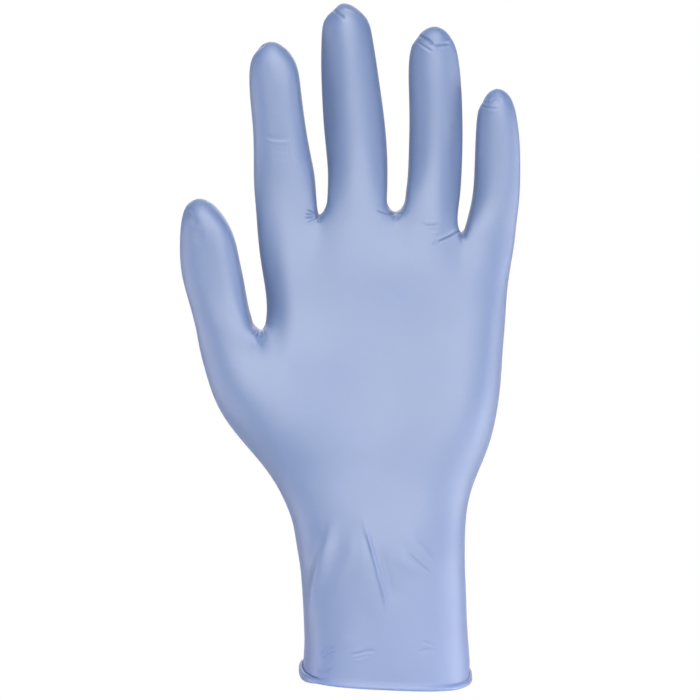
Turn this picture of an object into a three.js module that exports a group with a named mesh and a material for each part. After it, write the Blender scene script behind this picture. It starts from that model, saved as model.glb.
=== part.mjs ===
// Nitrile exam glove in its worn form, a left one with the palm to the front: one dipped film with a rolled edge.
// Millimetres. X runs from the thumb side to the little finger side, Y from the palm side to the back of the glove,
// and Z from the mouth to the fingertips. The origin is the centre of the mouth.
import * as THREE from 'three';

// Film and rolled edge
const wall = 1.0;
const beadDiameter = 2.4;
const beadStand = 0.45;        // how far the middle of the bead stands outside the film

// Mouth, cuff and wrist
const mouthWidth = 59.6;
const mouthDepth = 51;
const mouthTilt = 1.4;         // the thumb side of the rim stands this much higher than the middle, the other lower
const mouthDip = 0.7;          // the palm side of the rim hangs this much lower than the middle
const cuffLength = 48;         // mouth to wrist
const wristWidth = 60;
const wristDepth = 42;

// Palm
const palmLength = 118;        // wrist to the web beside the middle finger
const palmWidth = 90;
const palmDepth = 28;
const thumbWebHeight = 74.5;   // wrist to the web beside the thumb
const thumbReach = 72.7;       // middle plane of the cuff to the outermost point of the thumb
const thumbForward = 6;        // how far the base of the thumb stands to the front
const webRise = 4.2;           // height of the round fold between two fingers
const thumbWebSide = 0.96;     // middle plane to the web beside the thumb, in half palm widths
const shiftStart = 0.62;       // the base of the thumb turns forward from here out, in half palm widths
const shiftEnd = 0.75;         // and is fully forward from here out, in thumb reaches
const shiftFoot = 0.15;        // and starts to do so this high over the wrist, in palm lengths

// Digits: length from the web line to the tip, greatest width and depth, lean of the tip along X and to the front
const digits = {
  thumb: { length: 48, width: 22, depth: 20.5, lean: -9.9, forward: 6, cap: 10 },
  index: { length: 59.0, width: 22, depth: 19.5, lean: -5.6, forward: 9, cap: 9.5 },
  middle: { length: 72.2, width: 22, depth: 19.8, lean: -4.5, forward: 10, cap: 10 },
  ring: { length: 64.2, width: 20, depth: 18.6, lean: 1.0, forward: 10, cap: 9 },
  little: { length: 49.8, width: 17, depth: 16.2, lean: 1.9, forward: 8, cap: 8 },
};

// Webs between the fingers: place across in half palm widths, height over the wrist in palm lengths
const webs = table('across height', [
  [-1.00, 0.990],
  [-0.524, 1.000],
  [0.082, 1.000],
  [0.598, 0.924],
  [1.02, 0.940],
]);

// Outline of the cuff: height in cuff lengths, sides in half mouth widths, depths in half mouth depths
const cuffRows = table('at left right front back', [
  [0.00, 0.990, 1.015, 1.00, 1.00],
  [0.10, 0.975, 1.015, 0.99, 0.99],
  [0.22, 0.960, 1.000, 0.97, 0.98],
  [0.40, 0.970, 0.990, 0.94, 0.95],
  [0.60, 0.990, 0.978, 0.90, 0.92],
  [0.80, 1.020, 0.960, 0.85, 0.88],
]);

// Outline from the wrist up: height in palm lengths. The left side goes from half the wrist width at 0 to the
// reach of the thumb at 1, and the right side from half the wrist width at 0 to half the palm width at 1.
// The depths go from half the wrist depth at 0 to half the palm depth at 1.
const trunkRows = table('at left right front back', [
  [0.00, 0.030, -0.09, 0.00, -0.05],
  [0.06, 0.066, -0.07, 0.12, 0.10],
  [0.12, 0.135, -0.02, 0.20, 0.25],
  [0.18, 0.215, 0.13, 0.25, 0.40],
  [0.25, 0.355, 0.37, 0.30, 0.52],
  [0.31, 0.495, 0.53, 0.36, 0.60],
  [0.37, 0.615, 0.61, 0.45, 0.66],
  [0.43, 0.700, 0.68, 0.60, 0.72],
  [0.49, 0.752, 0.73, 0.74, 0.78],
  [0.55, 0.800, 0.76, 0.86, 0.83],
  [0.61, 0.845, 0.78, 0.95, 0.88],
  [0.67, 0.880, 0.82, 1.00, 0.92],
  [0.74, 0.900, 0.86, 1.05, 0.96],
  [0.80, 0.900, 0.89, 1.10, 1.00],
  [0.86, 0.900, 0.94, 1.16, 1.06],
  [0.93, 0.900, 1.04, 1.26, 1.16],
  [1.00, 0.900, 1.08, 1.40, 1.30],
]);

// Thumb side of the palm above the thumb's web: height in palm lengths, side in half palm widths
const indexSide = table('at side', [
  [0.60, 0.94],
  [0.67, 0.93],
  [0.74, 0.925],
  [0.80, 0.945],
  [0.86, 0.970],
  [0.93, 0.990],
  [1.00, 1.010],
]);

// Outlines of the digits: height in lengths of the digit, sides in half widths of the digit from its leaning axis
const outlines = {
  thumb: table('at left right', [
    [0.00, 1.01, 0.97],
    [0.10, 1.01, 0.82],
    [0.26, 1.03, 0.82],
    [0.40, 1.08, 0.87],
    [0.55, 1.04, 0.85],
    [0.70, 0.92, 0.86],
    [0.85, 0.75, 0.75],
    [1.00, 0.74, 0.70],
  ]),
  index: table('at left right', [
    [0.00, 0.99, 0.93],
    [0.12, 0.97, 0.94],
    [0.25, 0.95, 0.97],
    [0.36, 0.91, 0.88],
    [0.50, 0.85, 0.83],
    [0.70, 0.85, 0.79],
    [0.85, 0.76, 0.76],
    [1.00, 0.66, 0.68],
  ]),
  middle: table('at left right', [
    [0.00, 1.08, 1.06],
    [0.08, 0.95, 1.01],
    [0.25, 0.87, 1.09],
    [0.44, 0.92, 1.07],
    [0.64, 0.90, 0.96],
    [0.83, 0.80, 0.85],
    [1.00, 0.66, 0.70],
  ]),
  ring: table('at left right', [
    [0.00, 0.97, 1.04],
    [0.10, 0.84, 1.06],
    [0.28, 0.75, 1.14],
    [0.50, 0.73, 1.15],
    [0.70, 0.79, 1.07],
    [0.84, 0.78, 0.96],
    [1.00, 0.66, 0.78],
  ]),
  little: table('at left right', [
    [0.00, 0.99, 1.14],
    [0.15, 0.83, 1.19],
    [0.30, 0.72, 1.22],
    [0.50, 0.70, 1.19],
    [0.65, 0.70, 1.12],
    [0.80, 0.70, 0.95],
    [1.00, 0.60, 0.72],
  ]),
};

// Depth of every digit along it, in half depths, and how its forward lean grows, in whole leans
const digitDepths = table('at front back forward', [
  [0.00, 1.00, 1.08, 0.00],
  [0.18, 0.98, 1.00, 0.06],
  [0.40, 0.95, 0.96, 0.24],
  [0.60, 0.90, 0.88, 0.48],
  [0.80, 0.84, 0.78, 0.76],
  [1.00, 0.76, 0.68, 1.00],
]);

// Mounds and hollows: face, place across in half palm widths, height and reach in palm lengths and half palm
// widths, and how far they stand out in palm depths
const mounds = table('face across at wide high out', [
  ['front', -0.84, 0.45, 0.46, 0.25, 0.22],     // ball of the thumb
  ['front', 0.56, 0.34, 0.36, 0.26, 0.10],      // heel of the palm
  ['front', 0.00, 0.62, 0.40, 0.20, -0.05],     // hollow of the palm
  ['front', 0.10, 0.86, 0.75, 0.09, 0.04],      // pads under the fingers
  ['front', -0.98, 0.64, 0.22, 0.10, -0.13],    // web of the thumb, palm side
  ['back', -0.98, 0.62, 0.24, 0.14, -0.16],     // web of the thumb, back
  ['front', -0.52, 0.99, 0.12, 0.09, -0.07],    // valleys that run down from the webs of the fingers
  ['front', 0.08, 0.99, 0.12, 0.09, -0.07],
  ['front', 0.60, 0.92, 0.12, 0.09, -0.07],
  ['back', -0.52, 0.99, 0.13, 0.12, -0.10],
  ['back', 0.08, 0.99, 0.13, 0.12, -0.10],
  ['back', 0.60, 0.92, 0.13, 0.12, -0.10],
  ['back', -0.74, 0.90, 0.17, 0.07, 0.05],      // knuckles
  ['back', -0.22, 0.93, 0.17, 0.07, 0.06],
  ['back', 0.33, 0.88, 0.16, 0.07, 0.05],
  ['back', 0.80, 0.82, 0.14, 0.07, 0.04],
]);

// A fold rises over the first stretch of its run and fades over the second, in shares of the run
const foldStart = [-0.25, 0.3];
const foldEnd = [0.7, 1.25];

// Soft folds of the cuff: ends across in half mouth widths and up in cuff lengths, half width and height in
// mouth widths
const folds = table('face fromAcross fromUp toAcross toUp wide out', [
  ['front', -0.30, 1.16, 0.02, 0.52, 0.075, 0.020],
  ['front', -0.14, 1.10, 0.20, 0.44, 0.080, -0.016],
  ['front', 0.18, 1.14, 0.72, 0.80, 0.080, 0.018],
  ['front', 0.34, 0.94, 0.80, 0.58, 0.080, -0.014],
  ['front', -0.66, 0.98, -0.86, 0.44, 0.080, 0.016],
  ['front', -0.50, 0.96, -0.62, 0.30, 0.085, -0.012],
  ['back', -0.55, 0.90, -0.25, 0.34, 0.070, 0.016],
  ['back', 0.50, 1.05, 0.30, 0.40, 0.070, -0.015],
  ['back', 0.20, 0.98, 0.62, 0.50, 0.060, 0.014],
]);

// Steps of the mesh
const fingerColumns = 5;       // across the front of each digit, and across its back
const sideSteps = 4;           // round each side of a digit
const cuffLevels = [0.05, 0.13, 0.23, 0.34, 0.46, 0.58, 0.7, 0.83, 1.0];
const wristLevels = [0.065, 0.13, 0.19, 0.25, 0.31, 0.37, 0.43, 0.485, 0.54, 0.59];
const palmLevels = [0.2, 0.4, 0.6, 0.8, 1.0];
const digitLevels = [0.028, 0.07, 0.135, 0.22, 0.33, 0.44, 0.55, 0.66, 0.76];
const capAngles = [8, 30, 50, 68, 82].map(THREE.MathUtils.degToRad);
const beadAngles = [55, 5, -45, -95, -150].map(THREE.MathUtils.degToRad);
const cornerShare = 0.85;      // where the front ends and the round side starts, in half widths
const webCornerShare = 0.93;   // the same beside a web, where the side is flatter
const rootCornerShare = 0.96;  // the same on the wide sections that a digit grows from
const webSquareness = 0.7;     // exponent of the fold over a web, 1 is an ellipse
const trunkRoundness = 2.55;   // exponent of the sections, 2 is an ellipse
const cuffRoundness = 2.1;
const digitRoundness = 2.15;
const webRoundness = 2.8;
const webReach = 0.32;         // a digit is round again this far up, in its lengths
const rimReach = 0.8;          // the rim's own tilt and dip fade out this far up, in cuff lengths
const roundReach = 0.8;        // the cuff's section becomes the palm's over this share of the wrist
const capClearance = 0.02;     // no level lies closer than this under a round tip, in lengths of the digit

// Values worked out
const fingerNames = ['index', 'middle', 'ring', 'little'];
const palmColumns = fingerColumns * fingerNames.length;
const trunkColumns = palmColumns + fingerColumns;
const thumbRowAt = wristLevels.at(-1);
const thumbRowHeight = cuffLength + palmLength * thumbRowAt;
const thumbWebTop = cuffLength + thumbWebHeight;
const thumbWebX = -thumbWebSide * palmWidth / 2;

// Rows of a table, each with its columns by name
function table(columns, rows) {
  const names = columns.split(' ');
  return rows.map((row) => Object.fromEntries(names.map((name, i) => [name, row[i]])));
}

// Value of one column at a height, on a smooth curve through the rows
function along(rows, column, at, key = 'at') {
  const last = rows.length - 1;
  if (at <= rows[0][key]) return rows[0][column];
  if (at >= rows[last][key]) return rows[last][column];
  const i = rows.findIndex((row) => row[key] > at) - 1;
  const slope = (j) => {
    const a = rows[Math.max(j - 1, 0)];
    const b = rows[Math.min(j + 1, last)];
    return (b[column] - a[column]) / (b[key] - a[key]);
  };
  const [a, b] = [rows[i], rows[i + 1]];
  const span = b[key] - a[key];
  const t = (at - a[key]) / span;
  const curve = (2 * t ** 3 - 3 * t ** 2 + 1) * a[column] + (3 * t ** 2 - 2 * t ** 3) * b[column];
  return curve + span * ((t ** 3 - 2 * t ** 2 + t) * slope(i) + (t ** 3 - t ** 2) * slope(i + 1));
}

const { lerp, smoothstep } = THREE.MathUtils;

// Depth of a rounded section at a place across it, both in shares
const roundDepth = (across, roundness) => (1 - Math.min(Math.abs(across), 1) ** roundness) ** (1 / roundness);

// Sides and depths of the cuff, wrist and palm at a height over the mouth
function trunkSize(height) {
  if (height < cuffLength) {
    const at = height / cuffLength;
    const wristRow = trunkSize(cuffLength);
    const blend = smoothstep(at, cuffRows.at(-1).at, 1);
    const size = (column, unit) => lerp(unit * along(cuffRows, column, at), wristRow[column], blend);
    return {
      left: size('left', mouthWidth / 2),
      right: size('right', mouthWidth / 2),
      front: size('front', mouthDepth / 2),
      back: size('back', mouthDepth / 2),
    };
  }
  const at = (height - cuffLength) / palmLength;
  const size = (column, from, to) => lerp(from / 2, to / 2, along(trunkRows, column, at));
  return {
    left: size('left', wristWidth, 2 * thumbReach),
    right: size('right', wristWidth, palmWidth),
    front: size('front', wristDepth, palmDepth),
    back: size('back', wristDepth, palmDepth),
  };
}

// How far mounds and hollows raise a face of the palm
function moundHeight(face, x, z) {
  let out = 0;
  for (const mound of mounds.filter((row) => row.face === face)) {
    const dx = (x - mound.across * palmWidth / 2) / (mound.wide * palmWidth / 2);
    const dz = (z - cuffLength - mound.at * palmLength) / (mound.high * palmLength);
    out += mound.out * palmDepth * Math.exp(-dx * dx - dz * dz);
  }
  return out;
}

// How far the soft folds raise a face of the cuff
function foldHeight(face, x, z) {
  let out = 0;
  for (const fold of folds.filter((row) => row.face === face)) {
    const from = new THREE.Vector2(fold.fromAcross * mouthWidth / 2, fold.fromUp * cuffLength);
    const run = new THREE.Vector2(fold.toAcross * mouthWidth / 2, fold.toUp * cuffLength).sub(from);
    const place = new THREE.Vector2(x, z).sub(from);
    const share = place.dot(run) / run.lengthSq();
    const aside = Math.abs(place.cross(run)) / run.length() / (fold.wide * mouthWidth);
    const ends = smoothstep(share, ...foldStart) * (1 - smoothstep(share, ...foldEnd));
    out += fold.out * mouthWidth * ends * Math.exp(-aside * aside);
  }
  return out;
}

// The base of the thumb stands to the front of the palm
function thumbShift(x, z) {
  const beside = smoothstep(-x, shiftStart * palmWidth / 2, shiftEnd * thumbReach);
  return thumbForward * beside * smoothstep(z, cuffLength + shiftFoot * palmLength, thumbRowHeight);
}

const vertices = [];
const triangles = [];

function addVertex(x, y, z) {
  vertices.push(new THREE.Vector3(x, y, z));
  return vertices.length - 1;
}

function addQuad(a, b, c, d) {
  triangles.push([a, b, c], [a, c, d]);
}

// A ring holds its vertices as front and back columns from left to right, and as sides from front to back
function makeRing(columns, place) {
  const steps = Array.from({ length: sideSteps - 1 }, (_, i) => 1 - 2 * (i + 1) / sideSteps);
  const front = columns.map((across) => place(across, 'front', 1));
  const back = columns.map((across) => place(across, 'back', 1));
  const side = (sign) => steps.map((step) => {
    const corner = sign > 0 ? columns.at(-1) : columns[0];
    return place(corner, step >= 0 ? 'front' : 'back', Math.abs(step));
  });
  return { front, back, left: side(-1), right: side(1) };
}

const loopOf = (ring) => [...ring.front, ...ring.right, ...ring.back.toReversed(), ...ring.left.toReversed()];

function bridge(lower, upper) {
  const [low, high] = [loopOf(lower), loopOf(upper)];
  low.forEach((_, i) => {
    const next = (i + 1) % low.length;
    addQuad(low[i], low[next], high[next], high[i]);
  });
}

// Place on a rounded section: a side point lies part of the way round from the corner to the edge
function sectionPlace(across, turn, roundness) {
  if (turn === 1) return { across, deep: roundDepth(across, roundness) };
  const corner = Math.acos(Math.abs(across) ** (roundness / 2));
  const angle = corner * turn;
  return { across: Math.sign(across) * Math.cos(angle) ** (2 / roundness), deep: Math.sin(angle) ** (2 / roundness) };
}

// Columns of a section in shares of its half widths: even, or through given boundaries with even steps between
const evenColumns = (count, from = -cornerShare, to = cornerShare) => (
  Array.from({ length: count + 1 }, (_, i) => lerp(from, to, i / count)));

function boundaryColumns(boundaries) {
  const columns = [boundaries[0]];
  boundaries.slice(1).forEach((to, i) => {
    for (let step = 1; step <= fingerColumns; step += 1) {
      columns.push(lerp(boundaries[i], to, step / fingerColumns));
    }
  });
  return columns;
}

// Section of the cuff, wrist or palm at a height, with a share of the rim's own tilt and dip
function trunkRing(columns, left, right, size, heightOf, roundness, rim = 0) {
  return makeRing(columns, (column, face, turn) => {
    const { across, deep } = sectionPlace(column, turn, roundness);
    const x = across * (across < 0 ? left : right);
    const sign = face === 'front' ? -1 : 1;
    const z = heightOf(x) - rim * (mouthTilt * across - mouthDip * Math.min(sign * deep, 0));
    const relief = moundHeight(face, x, z) + foldHeight(face, x, z);
    const y = sign * (size[face] + relief) * deep - thumbShift(x, z);
    return addVertex(x, y, z);
  });
}

// A web joins a front column to the same back column over a round fold, and parts the ring there in two
function splitRing(ring, column, top) {
  const from = vertices[ring.front[column]];
  const to = vertices[ring.back[column]];
  const strip = Array.from({ length: sideSteps - 1 }, (_, i) => {
    const share = (i + 1) / sideSteps;
    const [turn, rise] = [Math.cos(Math.PI * share), Math.sin(Math.PI * share)];
    const across = (1 - Math.sign(turn) * Math.abs(turn) ** webSquareness) / 2;
    const base = from.clone().lerp(to, across);
    return addVertex(base.x, base.y, lerp(base.z, top, rise ** webSquareness));
  });
  return [
    { front: ring.front.slice(0, column + 1), back: ring.back.slice(0, column + 1), left: ring.left, right: strip },
    { front: ring.front.slice(column), back: ring.back.slice(column), left: strip, right: ring.right },
  ];
}

// Close to its base a ring keeps the depths of the base ring, so the digit runs smoothly into the palm
function easeDepth(base, ring, round) {
  const [from, to] = [loopOf(base), loopOf(ring)];
  to.forEach((vertex, i) => {
    vertices[vertex].y = lerp(vertices[from[i]].y, vertices[vertex].y, round);
  });
}

// A digit grows from its base ring to a round tip
function growDigit(name, base, baseLeft, baseRight, baseForward) {
  const digit = digits[name];
  const outline = outlines[name];
  const centre = (baseLeft.x + baseRight.x) / 2;
  const baseZ = Math.max(baseLeft.z, baseRight.z);
  const tip = new THREE.Vector3(centre + digit.lean, -baseForward - digit.forward, baseZ + digit.length);
  const capAt = 1 - digit.cap / digit.length;
  const levels = digitLevels.filter((at) => at < capAt - capClearance).map((at) => [at, 1]);
  for (const angle of capAngles) levels.push([capAt + (1 - capAt) * Math.sin(angle), Math.cos(angle)]);
  let ring = base;
  for (const [at, shrink] of levels) {
    const left = along(outline, 'left', at) * digit.width / 2 * shrink;
    const right = along(outline, 'right', at) * digit.width / 2 * shrink;
    const forward = baseForward + digit.forward * along(digitDepths, 'forward', at);
    const axis = centre + digit.lean * at;
    const round = smoothstep(at, 0, webReach);
    const corner = (beside) => lerp(beside ? webCornerShare : cornerShare, cornerShare, round);
    const columns = evenColumns(fingerColumns, -corner(baseLeft.web), corner(baseRight.web));
    const roundness = lerp(webRoundness, digitRoundness, round);
    const next = makeRing(columns, (column, face, turn) => {
      const { across, deep } = sectionPlace(column, turn, roundness);
      const x = axis + (right - left) / 2 + (right + left) / 2 * across;
      const footZ = lerp(baseLeft.z, baseRight.z, (across + 1) / 2);
      const depth = along(digitDepths, face, at) * digit.depth / 2 * shrink * deep;
      return addVertex(x, (face === 'front' ? -depth : depth) - forward, lerp(footZ, tip.z, at));
    });
    easeDepth(base, next, round);
    bridge(ring, next);
    ring = next;
  }
  const pole = addVertex(tip.x, tip.y, tip.z);
  const loop = loopOf(ring);
  loop.forEach((vertex, i) => triangles.push([vertex, loop[(i + 1) % loop.length], pole]));
}

// Outer face of the film, from the rolled edge to the five tips
function buildFilm() {
  const webPlaces = webs.slice(1, -1).map((row) => row.across * palmWidth / 2);
  const acrossAt = (x, left, right) => x / (x < 0 ? left : right);
  let ring = null;
  let first = null;
  const grow = (next) => {
    if (ring) bridge(ring, next);
    else first = next;
    ring = next;
  };
  for (const at of cuffLevels) {
    const size = trunkSize(at * cuffLength);
    const rim = 1 - smoothstep(at, 0, rimReach);
    grow(trunkRing(evenColumns(trunkColumns), size.left, size.right, size, () => at * cuffLength, cuffRoundness, rim));
  }
  for (const at of wristLevels) {
    const height = cuffLength + at * palmLength;
    const size = trunkSize(height);
    const share = at / thumbRowAt;
    const target = boundaryColumns([-rootCornerShare,
      ...[thumbWebX, ...webPlaces].map((x) => acrossAt(x, size.left, size.right)), cornerShare]);
    const columns = evenColumns(trunkColumns).map((even, i) => lerp(even, target[i], smoothstep(share, 0, 1)));
    const roundness = lerp(cuffRoundness, trunkRoundness, smoothstep(share, 0, roundReach));
    grow(trunkRing(columns, size.left, size.right, size, () => height, roundness));
  }
  const [thumbBase, palmBase] = splitRing(ring, fingerColumns, thumbWebTop);
  const thumbEdge = trunkSize(thumbWebTop).left;
  const thumbRight = { x: thumbWebX, z: thumbWebTop, web: true };
  growDigit('thumb', thumbBase, { x: -thumbEdge, z: thumbWebTop, web: false }, thumbRight, thumbForward);
  ring = palmBase;
  const webHeight = (x) => cuffLength + palmLength * along(webs, 'height', x / (palmWidth / 2), 'across') - webRise;
  for (const share of palmLevels) {
    const heightOf = (x) => lerp(thumbRowHeight, webHeight(x), share);
    const middle = heightOf(0);
    const size = trunkSize(middle);
    const left = palmWidth / 2 * along(indexSide, 'side', (middle - cuffLength) / palmLength);
    const columns = boundaryColumns([-lerp(webCornerShare, rootCornerShare, share),
      ...webPlaces.map((x) => acrossAt(x, left, size.right)), lerp(cornerShare, rootCornerShare, share)]);
    grow(trunkRing(columns, left, size.right, size, heightOf, trunkRoundness));
  }
  let rest = ring;
  fingerNames.forEach((name, i) => {
    const [from, to] = [i, i + 1].map((j) => ({
      x: webs[j].across * palmWidth / 2,
      z: cuffLength + webs[j].height * palmLength,
      web: j > 0 && j < webs.length - 1,
    }));
    let base = rest;
    if (i < fingerNames.length - 1) [base, rest] = splitRing(rest, fingerColumns, to.z);
    growDigit(name, base, from, to, 0);
  });
  return first;
}

// Outward direction at each vertex, from the faces round it
function outwardDirections() {
  const directions = vertices.map(() => new THREE.Vector3());
  for (const corners of triangles) {
    const [a, b, c] = corners.map((corner) => vertices[corner]);
    const normal = b.clone().sub(a).cross(c.clone().sub(a));
    corners.forEach((corner) => directions[corner].add(normal));
  }
  return directions.map((direction) => direction.normalize());
}

function buildGlove() {
  const mouth = loopOf(buildFilm());
  const outward = outwardDirections();
  const inner = vertices.map((vertex, i) => vertex.clone().addScaledVector(outward[i], -wall));
  const offset = vertices.length;
  triangles.push(...triangles.map(([a, b, c]) => [a + offset, c + offset, b + offset]));
  vertices.push(...inner);
  // The film turns outwards into the rolled bead and comes back under it to the inner face
  const radius = beadDiameter / 2;
  let upper = mouth;
  for (const angle of beadAngles) {
    const rolled = mouth.map((vertex) => {
      const out = outward[vertex].clone().setZ(0).normalize();
      const place = vertices[vertex].clone().addScaledVector(out, beadStand + radius * Math.cos(angle));
      return addVertex(place.x, place.y, place.z - radius * (1 - Math.sin(angle)));
    });
    closeBetween(upper, rolled);
    upper = rolled;
  }
  closeBetween(upper, mouth.map((vertex) => vertex + offset));
}

function closeBetween(upper, lower) {
  upper.forEach((_, i) => {
    const next = (i + 1) % upper.length;
    addQuad(lower[i], lower[next], upper[next], upper[i]);
  });
}

buildGlove();
const geometry = new THREE.BufferGeometry().setFromPoints(vertices);
geometry.setIndex(triangles.flat());
geometry.computeVertexNormals();

const nitrile = new THREE.MeshStandardMaterial({ color: 0xa8b9de, roughness: 0.48, metalness: 0 });
const glove = new THREE.Mesh(geometry, nitrile);
glove.name = 'exam_glove';

const group = new THREE.Group();
group.add(glove);

export default group;
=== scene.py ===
"""The looks of a worn nitrile exam glove, built round its frame.

Metres. +Z runs from the mouth of the cuff to the fingertips, -Y is the palm's side and -X the thumb's.
"""

import math

import bpy
import numpy as np
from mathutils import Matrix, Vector


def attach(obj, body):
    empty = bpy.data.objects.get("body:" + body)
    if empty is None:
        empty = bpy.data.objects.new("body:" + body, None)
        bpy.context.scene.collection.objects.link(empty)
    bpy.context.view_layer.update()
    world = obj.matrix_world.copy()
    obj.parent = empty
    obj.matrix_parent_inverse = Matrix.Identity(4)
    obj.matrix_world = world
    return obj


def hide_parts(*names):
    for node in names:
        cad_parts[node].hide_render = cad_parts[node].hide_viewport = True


bl_info = {
    "name": "Nitrile Exam Glove",
    "version": (1, 0, 0),
    "blender": (4, 5, 0),
    "location": "3D View > Sidebar > Exam Glove",
    "description": "Builds a worn nitrile exam glove with its folds, creases and rolled edge",
    "category": "Add Mesh",
}

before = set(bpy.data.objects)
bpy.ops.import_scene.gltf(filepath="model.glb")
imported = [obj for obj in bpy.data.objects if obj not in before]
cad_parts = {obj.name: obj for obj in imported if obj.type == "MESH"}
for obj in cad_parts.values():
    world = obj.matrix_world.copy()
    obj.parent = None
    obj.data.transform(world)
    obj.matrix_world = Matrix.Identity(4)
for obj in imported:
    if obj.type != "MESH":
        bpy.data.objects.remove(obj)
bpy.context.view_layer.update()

CAD_NODE = "exam_glove"
MM = 0.001


# Tables

def table(columns, rows):
    """Rows of a table as dictionaries, with the columns by name."""
    names = columns.split()
    return [dict(zip(names, row)) for row in rows]


# Fine creases on the palm's side, in millimetres: half width, depth, share of the depth that the lips
# beside it stand out, and points across and up
CREASES = table("wide deep lip points", [
    # index finger: the line inside its end joint, and fainter ones under it
    (0.30, -0.15, 0.0, [(-43.0, 191.8), (-40.7, 190.8), (-38.2, 190.3), (-34.8, 190.3), (-31.6, 190.9)]),
    (0.80, 0.14, 0.1, [(-42.4, 192.7), (-39.6, 191.6), (-36.2, 191.2), (-32.6, 191.8)]),
    (0.40, 0.04, 0.3, [(-39.7, 187.7), (-35.5, 187.1), (-32.0, 187.5)]),
    (0.40, 0.04, 0.3, [(-39.3, 184.7), (-35.1, 184.2), (-31.7, 184.5)]),
    (0.70, 0.40, 0.2, [(-45.4, 222.0), (-43.9, 223.2), (-42.0, 224.4)]),
    # pleats beside the web of the index and middle fingers
    (0.24, 0.56, 0.4, [(-22.8, 164.4), (-24.4, 165.2), (-26.0, 166.0), (-27.8, 166.6)]),
    (0.24, 0.60, 0.4, [(-22.8, 164.2), (-24.6, 164.6), (-26.2, 164.9), (-28.4, 165.1)]),
    (0.24, 0.60, 0.4, [(-22.8, 164.0), (-24.6, 164.0), (-26.4, 163.9), (-28.6, 163.5)]),
    (0.24, 0.52, 0.4, [(-22.9, 163.9), (-24.4, 163.4), (-26.0, 162.7), (-27.6, 161.9)]),
    # tip of the middle finger
    (0.45, 0.48, 0.4, [(-18.9, 236.6), (-17.3, 235.2), (-15.6, 233.9), (-13.6, 232.6)]),
    (0.45, -0.22, 0.0, [(-15.9, 236.5), (-13.5, 236.1), (-10.7, 234.9), (-8.3, 232.9)]),
    # creases left of the web of the middle and ring fingers
    (0.32, 0.60, 0.3, [(5.0, 165.4), (2.8, 165.1), (0.4, 165.3), (-1.8, 166.0), (-3.6, 166.9)]),
    (0.28, 0.26, 0.4, [(2.9, 164.9), (0.5, 164.1), (-1.8, 163.2)]),
    (0.26, 0.16, 0.4, [(3.8, 165.0), (6.2, 165.1), (8.4, 165.9)]),
    # tip of the ring finger: two folds that meet in a notch
    (0.42, 0.62, 0.4, [(11.4, 227.0), (13.2, 226.3), (15.2, 224.9), (16.8, 223.3)]),
    (0.42, 0.55, 0.5, [(16.3, 223.2), (18.6, 223.5), (20.8, 224.0), (22.6, 224.2)]),
    (0.36, 0.36, 0.5, [(10.6, 225.1), (12.3, 223.9), (14.5, 222.4), (16.6, 221.3)]),
    # root of the ring finger
    (0.30, -0.17, 0.0, [(12.0, 162.4), (16.2, 162.5), (20.6, 162.3)]),
    (0.30, 0.20, 0.5, [(12.9, 161.2), (16.2, 161.1), (18.9, 161.3)]),
    (0.30, -0.16, 0.0, [(15.4, 158.5), (20.2, 158.4)]),
    # long crease that runs down from the web of the ring and little fingers
    (0.34, 0.80, 0.3, [(27.6, 160.2), (24.6, 158.5), (21.6, 156.9), (18.6, 155.7), (15.2, 154.8)]),
    # tip of the little finger
    (0.30, 0.20, 0.5, [(36.4, 204.6), (38.3, 205.2), (40.6, 204.3)]),
    (0.34, 0.26, 0.5, [(33.0, 203.0), (35.9, 202.0), (39.2, 201.9)]),
    (0.30, 0.16, 0.5, [(34.6, 203.9), (36.8, 204.2)]),
    # pleats that fan out under the web of the thumb
    (0.26, 0.46, 0.3, [(-44.0, 125.6), (-44.9, 124.4), (-46.6, 123.6)]),
    (0.26, 0.52, 0.3, [(-43.8, 125.2), (-44.4, 123.6), (-45.2, 121.9)]),
    (0.26, 0.52, 0.3, [(-43.5, 125.0), (-43.5, 123.4), (-43.3, 121.5)]),
    (0.26, 0.46, 0.3, [(-43.0, 125.4), (-42.5, 124.0), (-41.6, 122.5)]),
    # fine lines of the folds that slant over the cuff
    (0.40, -0.12, 0.2, [(9.9, 53.2), (13.6, 49.3), (18.0, 44.6)]),
    (0.40, 0.12, 0.2, [(7.2, 48.2), (12.0, 43.6), (16.8, 39.2)]),
    # small wrinkles over the rolled edge
    (0.45, 0.16, 0.5, [(-23.2, 10.3), (-20.5, 12.7), (-17.2, 14.8)]),
    (0.45, 0.15, 0.5, [(-22.3, 9.4), (-19.5, 11.6), (-16.5, 13.1)]),
    (0.50, 0.15, 0.5, [(-12.6, 11.4), (-9.6, 12.1), (-6.8, 12.9), (-2.5, 13.3)]),
    (0.45, 0.11, 0.5, [(-11.9, 10.1), (-8.2, 11.2), (-4.6, 12.3)]),
    (0.50, 0.16, 0.5, [(-24.2, 4.3), (-21.3, 5.8), (-18.2, 7.5)]),
    (0.50, 0.08, 0.5, [(12.5, 16.2), (14.9, 15.7), (17.2, 14.8)]),
    (0.50, 0.08, 0.5, [(10.5, 12.5), (14.0, 13.3), (18.5, 12.8)]),
])

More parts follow.
